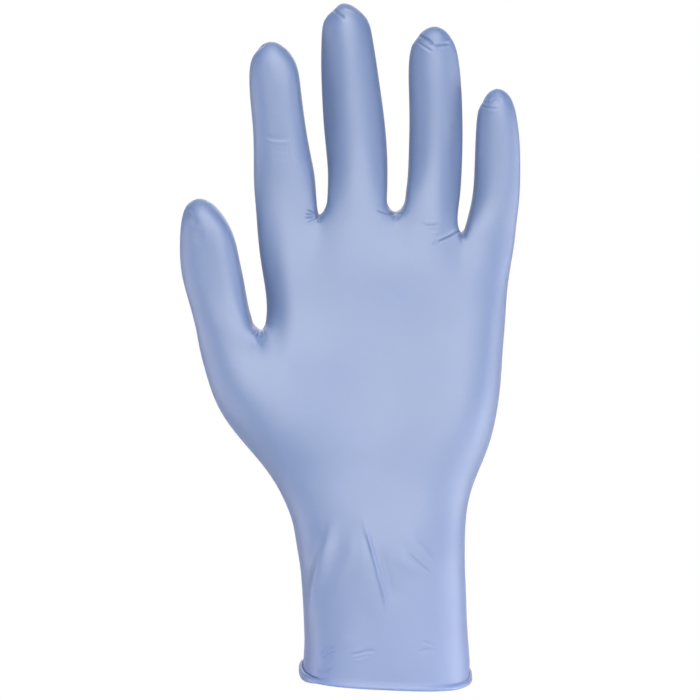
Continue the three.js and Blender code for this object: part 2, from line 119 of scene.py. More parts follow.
# Soft folds of the film on the palm's side, in millimetres: half width of its left and right slopes,
# how far it stands out, and points across and up
FOLDS = table("left right out points", [
    # main fold over the wrist, sharp on both sides
    (0.75, 0.50, 0.48, [
        (-8.6, 61.0), (-6.3, 54.0), (-4.2, 47.1), (-2.2, 39.5), (-0.4, 32.5), (0.8, 25.0)]),
    (1.60, 0.60, -0.24, [(-7.6, 54.5), (-5.9, 50.5), (-5.2, 45.5)]),
    (0.50, 1.80, -0.34, [(-2.6, 50.5), (-0.7, 43.5), (0.9, 36.5), (1.7, 30.0)]),
    # folds that slant down to the little finger's side
    (1.60, 1.20, 0.15, [(6.8, 56.5), (9.9, 53.2), (13.6, 49.3), (18.0, 44.6)]),
    (1.00, 1.60, -0.15, [(4.2, 52.4), (8.2, 47.2), (12.0, 43.6), (16.4, 39.6)]),
    (2.00, 2.00, 0.20, [(2.8, 48.2), (6.8, 43.4), (11.2, 39.4)]),
    # broad folds of the thumb's side
    (1.40, 2.40, 0.72, [
        (-17.6, 60.0), (-19.6, 53.9), (-22.3, 45.1), (-24.8, 36.0), (-26.6, 25.0), (-27.0, 17.0)]),
    (1.60, 1.60, -0.75, [(-22.4, 55.0), (-25.6, 47.0), (-27.6, 37.3), (-28.4, 26.0)]),
    (2.20, 2.60, -0.18, [(-14.2, 58.5), (-16.6, 50.0), (-19.6, 40.0), (-22.2, 30.0), (-23.4, 22.0)]),
    (2.40, 2.40, 0.22, [(-10.6, 56.0), (-12.6, 47.0), (-15.6, 38.0), (-18.2, 30.5)]),
    (3.00, 3.00, -0.16, [(-5.0, 30.0), (-9.0, 22.0), (-14.5, 16.5)]),
    # soft line under the little finger
    (1.40, 1.40, -0.14, [(31.0, 144.0), (36.4, 140.9), (41.0, 138.0)]),
    # fold between the pads of the thumb
    (1.80, 1.10, -0.60, [(-70.6, 166.9), (-68.0, 165.6), (-66.6, 163.6), (-65.9, 161.0)]),
    (1.60, 1.60, -0.16, [(-64.0, 159.8), (-65.0, 157.6), (-66.4, 155.6)]),
])

# Soft folds on the back of the glove, in the same columns
BACK_FOLDS = table("left right out points", [
    # cuff
    (1.6, 1.0, 0.42, [(-14.0, 44.0), (-11.0, 34.0), (-7.5, 24.0), (-5.5, 16.0)]),
    (1.4, 2.0, -0.34, [(-11.0, 43.0), (-8.0, 33.0), (-4.6, 24.0)]),
    (1.8, 1.2, 0.34, [(16.0, 50.0), (13.0, 41.0), (9.0, 31.0)]),
    (1.2, 1.8, 0.26, [(3.0, 52.0), (2.0, 42.0), (2.6, 33.0)]),
    # bend lines over the knuckles
    (0.7, 0.7, -0.14, [(-15.5, 199.0), (-12.0, 200.2), (-8.2, 199.4)]),
    (0.7, 0.7, -0.12, [(-15.2, 202.0), (-12.0, 203.0), (-8.6, 202.4)]),
    (0.7, 0.7, -0.13, [(-37.8, 192.5), (-34.6, 193.6), (-31.0, 192.9)]),
    (0.7, 0.7, -0.13, [(12.6, 194.2), (16.2, 195.2), (20.2, 194.6)]),
    (0.7, 0.7, -0.11, [(33.0, 181.0), (36.0, 181.8), (39.4, 181.2)]),
])

# Soft moves that shape the worn outline, in millimetres: middle across and up, reach across and up, and
# shift to the little finger's side and up
MOVES = table("across up wide high right rise", [
    # webs
    (-23.9, 166.0, 3.4, 4.6, 0.1, -2.0),
    (3.2, 166.2, 4.0, 4.0, 0.0, -0.9),
    (25.8, 158.4, 3.2, 3.6, 0.0, 1.0),
    (-43.6, 125.2, 3.4, 3.0, -0.4, 1.5),
    (-46.1, 124.9, 1.5, 1.9, -0.7, 0.0),
    (-42.1, 124.9, 1.4, 1.9, 0.5, 0.0),
    # sides of the fingers beside the webs
    (-20.6, 176.0, 3.6, 10.0, 0.42, 0.0),
    (-21.2, 168.5, 2.0, 3.0, 0.45, 0.0),
    (1.4, 168.4, 2.4, 3.4, -0.7, 0.0),
    (6.0, 168.6, 2.4, 3.4, 0.5, 0.0),
    (7.4, 176.0, 3.4, 9.0, 0.42, 0.0),
    (26.2, 164.5, 2.6, 5.0, -0.45, 0.0),
    (31.4, 173.0, 3.2, 10.0, 0.28, 0.0),
    # outer sides of the fingers and thumb
    (-45.2, 146.0, 5.0, 14.0, -0.55, 0.0),
    (-46.2, 174.0, 4.0, 9.0, -0.42, 0.0),
    (-48.0, 218.0, 3.6, 9.0, -0.25, 0.0),
    (-31.2, 214.0, 3.6, 6.0, 0.25, 0.0),
    (-22.4, 206.0, 3.6, 13.0, 0.26, 0.0),
    (9.0, 220.0, 3.6, 8.0, -0.3, 0.0),
    (47.8, 169.0, 4.0, 12.0, 0.32, 0.0),
    (-57.6, 163.0, 4.0, 9.0, -0.42, 0.0),
    # fingertips
    (-18.9, 237.0, 2.0, 2.0, 0.55, -0.5),
    (-5.4, 232.4, 3.2, 4.0, 0.5, 0.0),
    (-22.4, 231.4, 3.0, 3.6, -0.3, 0.0),
    (17.9, 229.4, 5.0, 3.6, 0.7, 0.0),
    (10.2, 226.6, 2.0, 2.0, 0.4, -0.3),
    (38.8, 206.4, 4.6, 4.0, 0.9, 0.0),
    (33.8, 204.2, 1.8, 1.8, 0.4, -0.3),
    (-45.6, 223.0, 1.8, 1.8, 0.35, -0.35),
    # palm
    (42.0, 121.0, 9.0, 15.0, 0.78, 0.0),
    (40.0, 97.0, 9.0, 16.0, 0.8, 0.0),
    (-70.0, 139.0, 7.0, 14.0, -0.5, 0.0),
    (-59.0, 100.0, 11.0, 20.0, -0.45, 0.0),
    # cuff
    (-30.0, 48.0, 6.0, 6.5, -0.6, 0.0),
    (-29.5, 14.0, 6.0, 18.0, -0.42, 0.0),
    (28.5, 34.0, 6.0, 22.0, 0.36, 0.0),
    (29.5, 9.0, 6.0, 8.0, 0.55, 0.0),
    (31.0, 4.0, 3.0, 3.6, 0.35, 0.0),
])

# Broad mounds and hollows of the palm's side, in millimetres: middle across and up, reach across and
# up, and shift to the front
MOUNDS = table("across up wide high front", [
    # little finger's side of the palm, ball of the thumb, and the thumb's side above the wrist
    (36.0, 104.0, 13.0, 36.0, 3.0),
    (-60.0, 106.0, 12.0, 26.0, 3.0),
    (-43.0, 76.0, 12.0, 24.0, 2.6),
    # index finger's side of the palm, and the hollow at the web of the thumb
    (-34.5, 138.0, 6.5, 26.0, 1.6),
    (-44.0, 134.0, 4.0, 13.0, -1.2),
    # sides of the middle and ring fingers
    (-20.4, 203.0, 3.6, 17.0, -1.7),
    (25.0, 184.0, 3.6, 17.0, -2.0),
    # under the webs
    (-43.6, 121.4, 3.4, 4.8, 2.6),
    (25.7, 156.6, 2.0, 3.0, 0.5),
])

# Depth over which a mound comes in, from the middle of the glove to the front
MOUND_DEPTH = 9.0 * MM

# Palm's side of the cuff: power of the curve round it, where 2 is an ellipse and more is flatter,
# height of the part whose depth counts, and heights where the flatter curve begins to fade and ends
CUFF_FULLNESS = 3.3
CUFF_TOP = 60 * MM
CUFF_FADE = 40 * MM
CUFF_END = 80 * MM

# Thickness of the film, by which its inner face lies inside the outer one
FILM_WALL = 1.0 * MM

# Flatter pads of the digits, in millimetres: left and right limit, width over which they end there,
# heights where they begin, are whole, begin to end and end, power of the curve round the pad, turn of
# the pad to the right as a slope, and sections by height: height, middle across and to the back, and
# half depth
DIGITS = table("left right soft low whole fade tip power turn sections", [
    # thumb
    (-90.0, -44.0, 6.0, 112.0, 134.0, 160.0, 172.0, 3.0, 0.16, [
        (112.0, -56.0, -6.0, 11.0), (135.0, -58.3, -6.6, 10.1), (145.0, -60.5, -7.7, 9.6),
        (155.0, -62.0, -9.5, 8.9), (165.0, -63.8, -11.5, 7.4)]),
    # index finger
    (-60.0, -22.8, 0.2, 162.0, 182.0, 214.0, 226.0, 2.9, 0.08, [
        (170.0, -34.9, 0.1, 9.9), (190.0, -36.7, -2.3, 9.2), (210.0, -38.7, -6.4, 8.0),
        (220.0, -39.3, -8.4, 6.4)]),
    # middle finger
    (-22.8, 3.5, 0.2, 164.0, 180.0, 226.0, 238.0, 1.9, 0.03, [
        (170.0, -10.0, 0.7, 12.3), (180.0, -9.8, -0.2, 10.7), (200.0, -11.3, -3.2, 9.2),
        (220.0, -13.0, -7.1, 8.1), (228.0, -13.5, -8.6, 7.6)]),
    # ring finger
    (3.5, 28.7, 0.2, 162.0, 180.0, 214.0, 224.0, 1.9, -0.03, [
        (170.0, 16.5, 0.2, 11.4), (180.0, 17.4, -1.0, 9.5), (200.0, 17.8, -4.3, 8.4),
        (220.0, 17.0, -8.5, 7.2)]),
    # little finger
    (28.7, 60.0, 0.2, 158.0, 174.0, 196.0, 206.0, 2.4, 0.1, [
        (170.0, 38.8, -0.6, 8.2), (180.0, 39.4, -2.2, 7.6), (190.0, 39.4, -4.3, 7.1),
        (200.0, 39.0, -6.6, 6.4)]),
])

# Depths before the middle of a digit where the turn of its pad begins and is whole
TURN_START = -2 * MM
TURN_WHOLE = 3 * MM

# Rim of the film, above which it is kept: half sizes of the mouth, height of the rim in its middle,
# rise to the thumb's side, dip to the palm's side, and height of the bead's faces that are cut off
MOUTH_HALF_WIDTH = 29.8 * MM
MOUTH_HALF_DEPTH = 25.5 * MM
RIM_HEIGHT = 2.4 * MM
RIM_RISE = 1.4 * MM
RIM_DIP = 0.7 * MM
BEAD_CUT = 0.7 * MM

# Bead of the rolled edge: shift out and drop, as a share of its half height, of the neck that joins it
# to the film, and turns of its other lines round its middle, in degrees
NECK_OUT = -0.12 * MM
NECK_DROP = 0.85
BEAD_TURNS = [158, 135, 112, 90, 66, 42, 18, -6, -30, -54, -78, -102, -126, -150, -172]
# The neck and the same lines at places where the bead lies flat against the film, in shares of its
# width and height
FLAT_BEAD = [
    (0.03, -0.07),
    (0.06, -0.10), (0.12, -0.19), (0.18, -0.28), (0.23, -0.37), (0.27, -0.46), (0.30, -0.55), (0.32, -0.64),
    (0.32, -0.72), (0.31, -0.80), (0.28, -0.88), (0.22, -0.95), (0.12, -0.99), (0.0, -1.0), (-0.10, -0.96),
    (-0.18, -0.90)]

# Where the bead turns from round to flat: places across at the thumb's side, and depths from the back
# to the front
FLAT_ACROSS = (-29.0 * MM, -20.0 * MM)
FLAT_DEPTH = (-8.0 * MM, 2.0 * MM)
# Places across where it turns partly round again at the little finger's side, and the share that does
ROUND_AGAIN = (27.5 * MM, 30.0 * MM)
ROUND_SHARE = 0.5
# Places to the thumb's side over which the bead grows taller, and the share that it grows by
TALL_ACROSS = (23.0 * MM, 29.0 * MM)
TALLER = 0.4

# How far from a fold or crease the faces are divided, and in how many cuts
FOLD_REACH = 3.0 * MM
FOLD_CUTS = 1
CREASE_REACH = 1.3 * MM
CREASE_CUTS = 3

# Shares of its run over which a fold comes in at both ends, and a crease at its start and at its end
FOLD_ENDS = 0.3
CREASE_START = 0.25
CREASE_END = 0.3
# Distance of the lips from the middle of a crease, in half widths of the crease
LIP_DISTANCE = 2.1
# Widths past which a fold and a crease move nothing
FOLD_WIDTHS = 4
CREASE_WIDTHS = 5
# How far a face looks to the front or back where folds and creases begin, and where they are whole
FACING = (0.02, 0.3)
# How far back a face may look and still be divided
DIVIDED_FACING = 0.1


# Sizes and colours that a user would change

class ExamGloveSettings(bpy.types.PropertyGroup):
    """Sizes and colours of the glove and of its stage."""

    bead_width: bpy.props.FloatProperty(
        name="Bead Width", description="Width of the rolled edge across the film",
        default=1.9 * MM, min=0.5 * MM, unit="LENGTH")
    bead_height: bpy.props.FloatProperty(
        name="Bead Height", description="Height of the rolled edge",
        default=2.4 * MM, min=0.5 * MM, unit="LENGTH")
    bead_stand: bpy.props.FloatProperty(
        name="Bead Stand", description="How far the middle of the bead stands outside the film",
        default=0.66 * MM, unit="LENGTH")
    crease_depth: bpy.props.FloatProperty(
        name="Crease Depth", description="Depth of the fine creases, as a share of their usual depth",
        default=1.0, min=0.0, max=2.0, subtype="FACTOR")
    fold_height: bpy.props.FloatProperty(
        name="Fold Height", description="Height of the soft folds, as a share of their usual height",
        default=1.0, min=0.0, max=2.0, subtype="FACTOR")
    swell: bpy.props.FloatProperty(
        name="Swell", description="How far the smoothed film is pushed out, to keep the frame's width",
        default=0.12 * MM, unit="LENGTH")
    film_colour: bpy.props.FloatVectorProperty(
        name="Film Colour", description="Colour of the nitrile film",
        default=(0.088, 0.144, 0.29), size=3, min=0.0, max=1.0, subtype="COLOR")
    thin_colour: bpy.props.FloatVectorProperty(
        name="Thin Film Colour", description="Colour where the film is stretched thin",
        default=(0.100, 0.158, 0.31), size=3, min=0.0, max=1.0, subtype="COLOR")
    sheen_colour: bpy.props.FloatVectorProperty(
        name="Sheen Colour", description="Colour of the soft sheen at a low angle",
        default=(0.80, 0.74, 0.92), size=3, min=0.0, max=1.0, subtype="COLOR")
    stage_colour: bpy.props.FloatVectorProperty(
        name="Stage Colour", description="Colour of the floor and backdrop",
        default=(0.9, 0.9, 0.9), size=3, min=0.0, max=1.0, subtype="COLOR")
    camera_distance: bpy.props.FloatProperty(
        name="Camera Distance", description="Distance from the camera to the middle of the glove",
        default=0.9, min=0.3, unit="LENGTH")


# Selecting and editing

def only(piece):
    """Makes one object the only one selected, and the active one."""
    if bpy.context.object and bpy.context.object.mode != "OBJECT":
        bpy.ops.object.mode_set(mode="OBJECT")
    bpy.ops.object.select_all(action="DESELECT")
    piece.select_set(True)
    bpy.context.view_layer.objects.active = piece


def triples(items, name):
    """A value of three numbers of each vertex or face, as an array."""
    found = np.empty(len(items) * 3, np.float32)
    items.foreach_get(name, found)
    return found.reshape(-1, 3).astype(float)


def places(piece):
    """Places of the vertices."""
    return triples(piece.data.vertices, "co")


def move_to(piece, new_places):
    """Moves the vertices to new places."""
    piece.data.vertices.foreach_set("co", new_places.astype(np.float32).ravel())
    piece.data.update()


def select_faces(piece, chosen):
    """Selects the chosen faces, and leaves the piece in edit mode."""
    only(piece)
    bpy.ops.object.mode_set(mode="EDIT")
    bpy.ops.mesh.select_mode(type="FACE")
    bpy.ops.mesh.select_all(action="DESELECT")
    bpy.ops.object.mode_set(mode="OBJECT")
    piece.data.polygons.foreach_set("select", chosen)
    bpy.ops.object.mode_set(mode="EDIT")


def select_border(piece):
    """Selects the open edges, and leaves the piece in edit mode."""
    only(piece)
    bpy.ops.object.mode_set(mode="EDIT")
    bpy.ops.mesh.select_mode(type="EDGE")
    bpy.ops.mesh.select_all(action="DESELECT")
    bpy.ops.mesh.select_non_manifold(
        extend=False, use_wire=False, use_boundary=True, use_multi_face=False,
        use_non_contiguous=False, use_verts=False)


def smooth_once(piece):
    """One level of subdivision surface, applied."""
    only(piece)
    modifier = piece.modifiers.new("Smooth film", "SUBSURF")
    modifier.levels = 1
    modifier.render_levels = 1
    bpy.ops.object.modifier_apply(modifier=modifier.name)


# Folds and creases

POINTS_PER_GIVEN = 12


def smooth_line(points):
    """Points in metres of a smooth curve through a row's points, with the share of its run at each."""
    given = np.array(points, float) * MM
    steps = np.concatenate([[0], np.cumsum(np.linalg.norm(np.diff(given, axis=0), axis=1))])
    slopes = np.gradient(given, steps, axis=0)
    fine = np.linspace(0, steps[-1], POINTS_PER_GIVEN * len(given))
    found = []
    # a cubic between each two given points, with the slopes that the points around give
    for at in fine:
        i = min(np.searchsorted(steps, at, side="right") - 1, len(given) - 2)
        span = steps[i + 1] - steps[i]
        t = (at - steps[i]) / span
        found.append(
            (2 * t**3 - 3 * t**2 + 1) * given[i] + (t**3 - 2 * t**2 + t) * span * slopes[i]
            + (3 * t**2 - 2 * t**3) * given[i + 1] + (t**3 - t**2) * span * slopes[i + 1])
    return np.array(found), fine / steps[-1]


def nearest_on(line, shares, spots):
    """Distance of each spot from a line, its side, -1 left and 1 right, and the share of the run there."""
    starts = line[:-1]
    runs = line[1:] - starts
    best = np.full(len(spots), np.inf)
    side = np.zeros(len(spots))
    share = np.zeros(len(spots))
    for i, (start, run) in enumerate(zip(starts, runs)):
        offset = spots - start
        along = np.clip(offset @ run / (run @ run), 0, 1)
        apart = offset - along[:, None] * run
        distance = np.linalg.norm(apart, axis=1)
        closer = distance < best
        best = np.where(closer, distance, best)
        side = np.where(closer, np.sign(apart[:, 0]), side)
        share = np.where(closer, shares[i] + along * (shares[i + 1] - shares[i]), share)
    return best, side, share


def ease(value, low, high):
    """0 below low, 1 above high, smooth between."""
    t = np.clip((value - low) / (high - low), 0, 1)
    return t * t * (3 - 2 * t)


def faces_front(directions, facing):
    """How much each direction looks to the front, with facing -1, or to the back, with facing 1."""
    return ease(directions[:, 1] * facing, *FACING)


def fold_relief(row, facing, across_up, directions):
    """Which spots a fold moves, and how far in metres."""
    line, shares = smooth_line(row["points"])
    reach = FOLD_WIDTHS * max(row["left"], row["right"]) * MM
    near = near_line(across_up, line, reach) & (directions[:, 1] * facing > 0)
    distance, side, share = nearest_on(line, shares, across_up[near])
    wide = np.where(side < 0, row["left"], row["right"]) * MM
    ends = ease(share, 0, FOLD_ENDS) * ease(1 - share, 0, FOLD_ENDS)
    ridge = np.exp(-(distance / wide) ** 2)
    return near, row["out"] * MM * ends * ridge * faces_front(directions[near], facing)


def crease_relief(row, across_up, directions):
    """Which spots a crease moves, and how far in metres: a valley with a lip on each side."""
    line, shares = smooth_line(row["points"])
    wide = row["wide"] * MM
    near = near_line(across_up, line, CREASE_WIDTHS * wide) & (directions[:, 1] < 0)
    distance, _, share = nearest_on(line, shares, across_up[near])
    ends = ease(share, 0, CREASE_START) * ease(1 - share, 0, CREASE_END)
    valley = -np.exp(-(distance / wide) ** 2)
    lips = row["lip"] * np.exp(-((distance - LIP_DISTANCE * wide) / wide) ** 2)
    return near, row["deep"] * MM * ends * (valley + lips) * faces_front(directions[near], -1)


def relief(spots, directions, settings):
    """How far the folds and creases move each spot along its own direction."""
    across_up = spots[:, [0, 2]]
    out = np.zeros(len(spots))
    for rows, facing in ((FOLDS, -1), (BACK_FOLDS, 1)):
        for row in rows:
            near, height = fold_relief(row, facing, across_up, directions)
            out[near] += height * settings.fold_height
    for row in CREASES:
        near, height = crease_relief(row, across_up, directions)
        out[near] += height * settings.crease_depth
    return out


def fuller(spots, middle, half, power):
    """How far each spot moves to the front for a section flatter than an ellipse."""
    share = np.clip((middle - spots[:, 1]) / half, 0, 1)
    return half * ((1 - (1 - share ** 2) ** (power / 2)) ** (1 / power) - share)


def pad_front(spots, digit, wall):
    """How far each spot of a digit moves to the front, for a flatter pad."""
    up, across, back, half = np.array(digit["sections"]).T * MM
    middle = np.interp(spots[:, 2], up, back)
    front = fuller(spots, middle, np.interp(spots[:, 2], up, half) - wall, digit["power"])
    beside_middle = spots[:, 0] - np.interp(spots[:, 2], up, across)
    front += digit["turn"] * beside_middle * ease(middle - spots[:, 1], TURN_START, TURN_WHOLE)
    inside = ease(spots[:, 0] - digit["left"] * MM, 0, digit["soft"] * MM)
    inside *= ease(digit["right"] * MM - spots[:, 0], 0, digit["soft"] * MM)
    inside *= ease(spots[:, 2], digit["low"] * MM, digit["whole"] * MM)
    return front * inside * (1 - ease(spots[:, 2], digit["fade"] * MM, digit["tip"] * MM))


def weight_near(across_up, row):
    """Weight of a soft move at each spot: 1 in its middle, and next to nothing at twice its reach."""
    middle = np.array([row["across"], row["up"]]) * MM
    reach = np.array([row["wide"], row["high"]]) * MM
    return np.exp(-(((across_up - middle) / reach) ** 2).sum(axis=1))


def moved(spots, wall=0.0):
    """The spots after the soft moves, for a film that lies inside the outer one by the wall."""
    across_up = spots[:, [0, 2]]
    shifts = np.zeros_like(spots)
    for row in MOVES:
        weight = weight_near(across_up, row)
        shifts[:, 0] += weight * row["right"] * MM
        shifts[:, 2] += weight * row["rise"] * MM
    before_middle = ease(-spots[:, 1], 0.0, MOUND_DEPTH)
    for row in MOUNDS:
        shifts[:, 1] -= weight_near(across_up, row) * before_middle * row["front"] * MM
    depth = -spots[spots[:, 2] < CUFF_TOP, 1].min()
    in_cuff = 1 - ease(spots[:, 2], CUFF_FADE, CUFF_END)
    shifts[:, 1] -= fuller(spots, 0.0, depth, CUFF_FULLNESS) * in_cuff
    for digit in DIGITS:
        shifts[:, 1] -= pad_front(spots, digit, wall)
    return spots + shifts


def near_line(spots, line, reach):
    """Which spots are in the line's box, with the reach round it."""
    low = line.min(axis=0) - reach
    high = line.max(axis=0) + reach
    return ((spots > low) & (spots < high)).all(axis=1)


def refine_near(piece, rows, reach, cuts):
    """Divides the faces near the given lines, so that the mesh can carry them."""
    to_front = triples(piece.data.polygons, "normal")[:, 1] < DIVIDED_FACING
    across_up = triples(piece.data.polygons, "center")[:, [0, 2]]
    chosen = np.zeros(len(across_up), bool)
    for row in rows:
        line, shares = smooth_line(row["points"])
        near = np.flatnonzero(near_line(across_up, line, reach) & to_front)
        distance, _, _ = nearest_on(line, shares, across_up[near])
        chosen[near[distance < reach]] = True
    select_faces(piece, chosen)
    bpy.ops.mesh.subdivide(number_cuts=cuts)
    bpy.ops.object.mode_set(mode="OBJECT")


# Film and rolled edge

def loose_films():
    """Outer and inner face of the film, from a copy of the frame's mesh without its bead."""
    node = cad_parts[CAD_NODE]
    copy = bpy.data.objects.new("film", node.data.copy())
    copy.data.materials.clear()
    bpy.context.scene.collection.objects.link(copy)
    only(copy)
    bpy.ops.object.mode_set(mode="EDIT")
    bpy.ops.mesh.select_all(action="SELECT")
    bpy.ops.mesh.remove_doubles(threshold=0.005 * MM)
    bpy.ops.object.mode_set(mode="OBJECT")
    centres = triples(copy.data.polygons, "center")
    rise = RIM_RISE * centres[:, 0] / MOUTH_HALF_WIDTH
    dip = RIM_DIP * np.minimum(centres[:, 1], 0) / MOUTH_HALF_DEPTH
    select_faces(copy, centres[:, 2] < RIM_HEIGHT - rise + dip + BEAD_CUT)
    bpy.ops.mesh.delete(type="FACE")
    bpy.ops.mesh.select_all(action="SELECT")
    bpy.ops.mesh.tris_convert_to_quads(face_threshold=math.radians(60), shape_threshold=math.radians(60))
    bpy.ops.mesh.separate(type="LOOSE")
    bpy.ops.object.mode_set(mode="OBJECT")
    films = sorted(bpy.context.selected_objects, key=lambda o: o.dimensions.x, reverse=True)
    if len(films) != 2:
        raise RuntimeError(f"the frame's mesh came apart in {len(films)} films, not two")
    return films


def roll_edge(film, settings):
    """Extrudes the open edge of the outer film round the bead, which lies flat on the palm's side."""
    half_wide = settings.bead_width / 2
    half_high = settings.bead_height / 2
    before = places(film)
    select_border(film)
    bpy.ops.object.mode_set(mode="OBJECT")
    chosen = np.empty(len(film.data.vertices), bool)
    film.data.vertices.foreach_get("select", chosen)
    rim = before[chosen]
    centre = (rim.min(axis=0) + rim.max(axis=0)) / 2
    half = (rim.max(axis=0) - rim.min(axis=0)) / 2
    round_profile = [(NECK_OUT, -NECK_DROP * half_high)]
    for turn in BEAD_TURNS:
        angle = math.radians(turn)
        round_profile.append((
            settings.bead_stand + half_wide * math.cos(angle), half_high * (math.sin(angle) - 1)))
    flat_profile = [(out * settings.bead_width, up * settings.bead_height) for out, up in FLAT_BEAD]
    out_before = 0.0
    up_before = 0.0
    for out, up in round_profile:
        bpy.ops.object.mode_set(mode="EDIT")
        bpy.ops.mesh.extrude_edges_move(TRANSFORM_OT_translate={"value": (0, 0, up - up_before)})
        factors = [(half[k] + out) / (half[k] + out_before) for k in (0, 1)]
        bpy.ops.transform.resize(value=(*factors, 1), center_override=tuple(centre))
        bpy.ops.object.mode_set(mode="OBJECT")
        out_before = out
        up_before = up

    spots = places(film)
    first = len(before)
    for (out, up), (flat_out, flat_up) in zip(round_profile, flat_profile):
        ring = spots[first:first + len(rim)]
        base = centre[:2] + (ring[:, :2] - centre[:2]) * half[:2] / (half[:2] + out)
        flat = ease(base[:, 0], *FLAT_ACROSS) * ease(-base[:, 1], *FLAT_DEPTH)
        flat *= 1 - ROUND_SHARE * ease(base[:, 0], *ROUND_AGAIN)
        tall = 1 + TALLER * ease(-base[:, 0], *TALL_ACROSS)
        new_out = out + flat * (flat_out - out)
        new_up = (up + flat * (flat_up - up)) * tall
        ring[:, :2] = centre[:2] + (base - centre[:2]) * (half[:2] + new_out[:, None]) / half[:2]
        ring[:, 2] += new_up - up
        first += len(rim)
    move_to(film, spots)


def make_film(settings):
    """The glove: outer film with its folds and creases, rolled edge and inner film, as one closed mesh."""
    outer, inner = loose_films()
    smooth_once(outer)
    move_to(outer, moved(places(outer)))
    refine_near(outer, FOLDS, FOLD_REACH, FOLD_CUTS)
    refine_near(outer, CREASES, CREASE_REACH, CREASE_CUTS)
    smooth_once(outer)
    directions = triples(outer.data.vertices, "normal")
    spots = places(outer)
    out = relief(spots, directions, settings) + settings.swell
    move_to(outer, spots + directions * out[:, None])
    roll_edge(outer, settings)
    smooth_once(inner)
    move_to(inner, moved(places(inner), FILM_WALL))
    only(outer)
    inner.select_set(True)
    bpy.ops.object.join()
    select_border(outer)
    bpy.ops.mesh.bridge_edge_loops()
    bpy.ops.mesh.select_all(action="SELECT")
    bpy.ops.mesh.normals_make_consistent(inside=False)
    bpy.ops.object.mode_set(mode="OBJECT")
    bpy.ops.object.shade_smooth()
    outer.name = "nitrile_glove"
    outer.data.name = "nitrile_glove"
    return outer


# Material

def add_noise(tree, coordinates, scale, detail):
    """A noise texture on the object's own coordinates."""
    noise = tree.nodes.new("ShaderNodeTexNoise")
    noise.inputs["Scale"].default_value = scale
    noise.inputs["Detail"].default_value = detail
    tree.links.new(coordinates.outputs["Object"], noise.inputs["Vector"])
    return noise


def add_bump(tree, noise, strength, height):
    """A bump made by a noise texture."""
    bump = tree.nodes.new("ShaderNodeBump")
    bump.inputs["Strength"].default_value = strength
    bump.inputs["Distance"].default_value = height
    tree.links.new(noise.outputs["Fac"], bump.inputs["Height"])
    return bump


def nitrile_material(settings):
    """Satin nitrile film: a slow drift of colour, soft sheen, and a fine skin in its gloss and relief."""
    material = bpy.data.materials.new("nitrile_film")
    material.use_nodes = True
    tree = material.node_tree
    nodes = tree.nodes
    links = tree.links
    shader = nodes["Principled BSDF"]
    coordinates = nodes.new("ShaderNodeTexCoord")

    drift = add_noise(tree, coordinates, scale=26.0, detail=2.0)
    drift.inputs["Roughness"].default_value = 0.45
    tones = nodes.new("ShaderNodeMix")
    tones.data_type = "RGBA"
    tones.inputs["A"].default_value = (*settings.film_colour, 1)
    tones.inputs["B"].default_value = (*settings.thin_colour, 1)
    links.new(drift.outputs["Fac"], tones.inputs["Factor"])
    links.new(tones.outputs["Result"], shader.inputs["Base Color"])

    gloss = add_noise(tree, coordinates, scale=90.0, detail=3.0)
    roughness = nodes.new("ShaderNodeMapRange")
    roughness.inputs["To Min"].default_value = 0.53
    roughness.inputs["To Max"].default_value = 0.59
    links.new(gloss.outputs["Fac"], roughness.inputs["Value"])
    links.new(roughness.outputs["Result"], shader.inputs["Roughness"])

    skin = add_noise(tree, coordinates, scale=900.0, detail=2.0)
    skin_bump = add_bump(tree, skin, strength=0.12, height=0.05 * MM)
    ripple = add_noise(tree, coordinates, scale=55.0, detail=1.0)
    ripple_bump = add_bump(tree, ripple, strength=0.35, height=0.8 * MM)
    links.new(skin_bump.outputs["Normal"], ripple_bump.inputs["Normal"])
    links.new(ripple_bump.outputs["Normal"], shader.inputs["Normal"])

    shader.inputs["IOR"].default_value = 1.65
    shader.inputs["Specular IOR Level"].default_value = 1.0
    shader.inputs["Subsurface Weight"].default_value = 0.5
    shader.inputs["Subsurface Radius"].default_value = (0.3, 0.45, 1.0)
    shader.inputs["Subsurface Scale"].default_value = 6 * MM
    shader.inputs["Sheen Weight"].default_value = 0.12
    shader.inputs["Sheen Roughness"].default_value = 0.45
    shader.inputs["Sheen Tint"].default_value = (*settings.sheen_colour, 1)
    return material


# Stage

def add_mix(tree, factor, first, second):
    """The mix of two shaders: the first where the factor is 0, and the second where it is 1."""
    mix = tree.nodes.new("ShaderNodeMixShader")
    for socket, output in zip(mix.inputs, (factor, first, second)):
        tree.links.new(output, socket)
    return mix.outputs["Shader"]


def stage_material(settings):
    """Pale paper that looks evenly lit to the camera and gives back little light."""
    material = bpy.data.materials.new("pale_paper")
    material.use_nodes = True
    tree = material.node_tree
    nodes = tree.nodes
    shader = nodes["Principled BSDF"]
    shader.inputs["Base Color"].default_value = (*settings.stage_colour, 1)
    shader.inputs["Roughness"].default_value = 0.9
    glow = nodes.new("ShaderNodeEmission")
    glow.inputs["Color"].default_value = (1, 1, 1, 1)
    glow.inputs["Strength"].default_value = 1.0
    path = nodes.new("ShaderNodeLightPath")
    seen = add_mix(tree, path.outputs["Is Camera Ray"], shader.outputs["BSDF"], glow.outputs["Emission"])
    tree.links.new(seen, nodes["Material Output"].inputs["Surface"])
    return material


def add_area_light(name, place, aim, width, height, power, colour):
    """A softbox at a place, turned to the aim."""
    data = bpy.data.lights.new(name, "AREA")
    data.shape = "RECTANGLE"
    data.size = width
    data.size_y = height
    data.energy = power
    data.color = colour
    light = bpy.data.objects.new(name, data)
    bpy.context.scene.collection.objects.link(light)
    light.location = place
    light.rotation_mode = "QUATERNION"
    light.rotation_quaternion = (Vector(aim) - Vector(place)).to_track_quat("-Z", "Y")
    return light


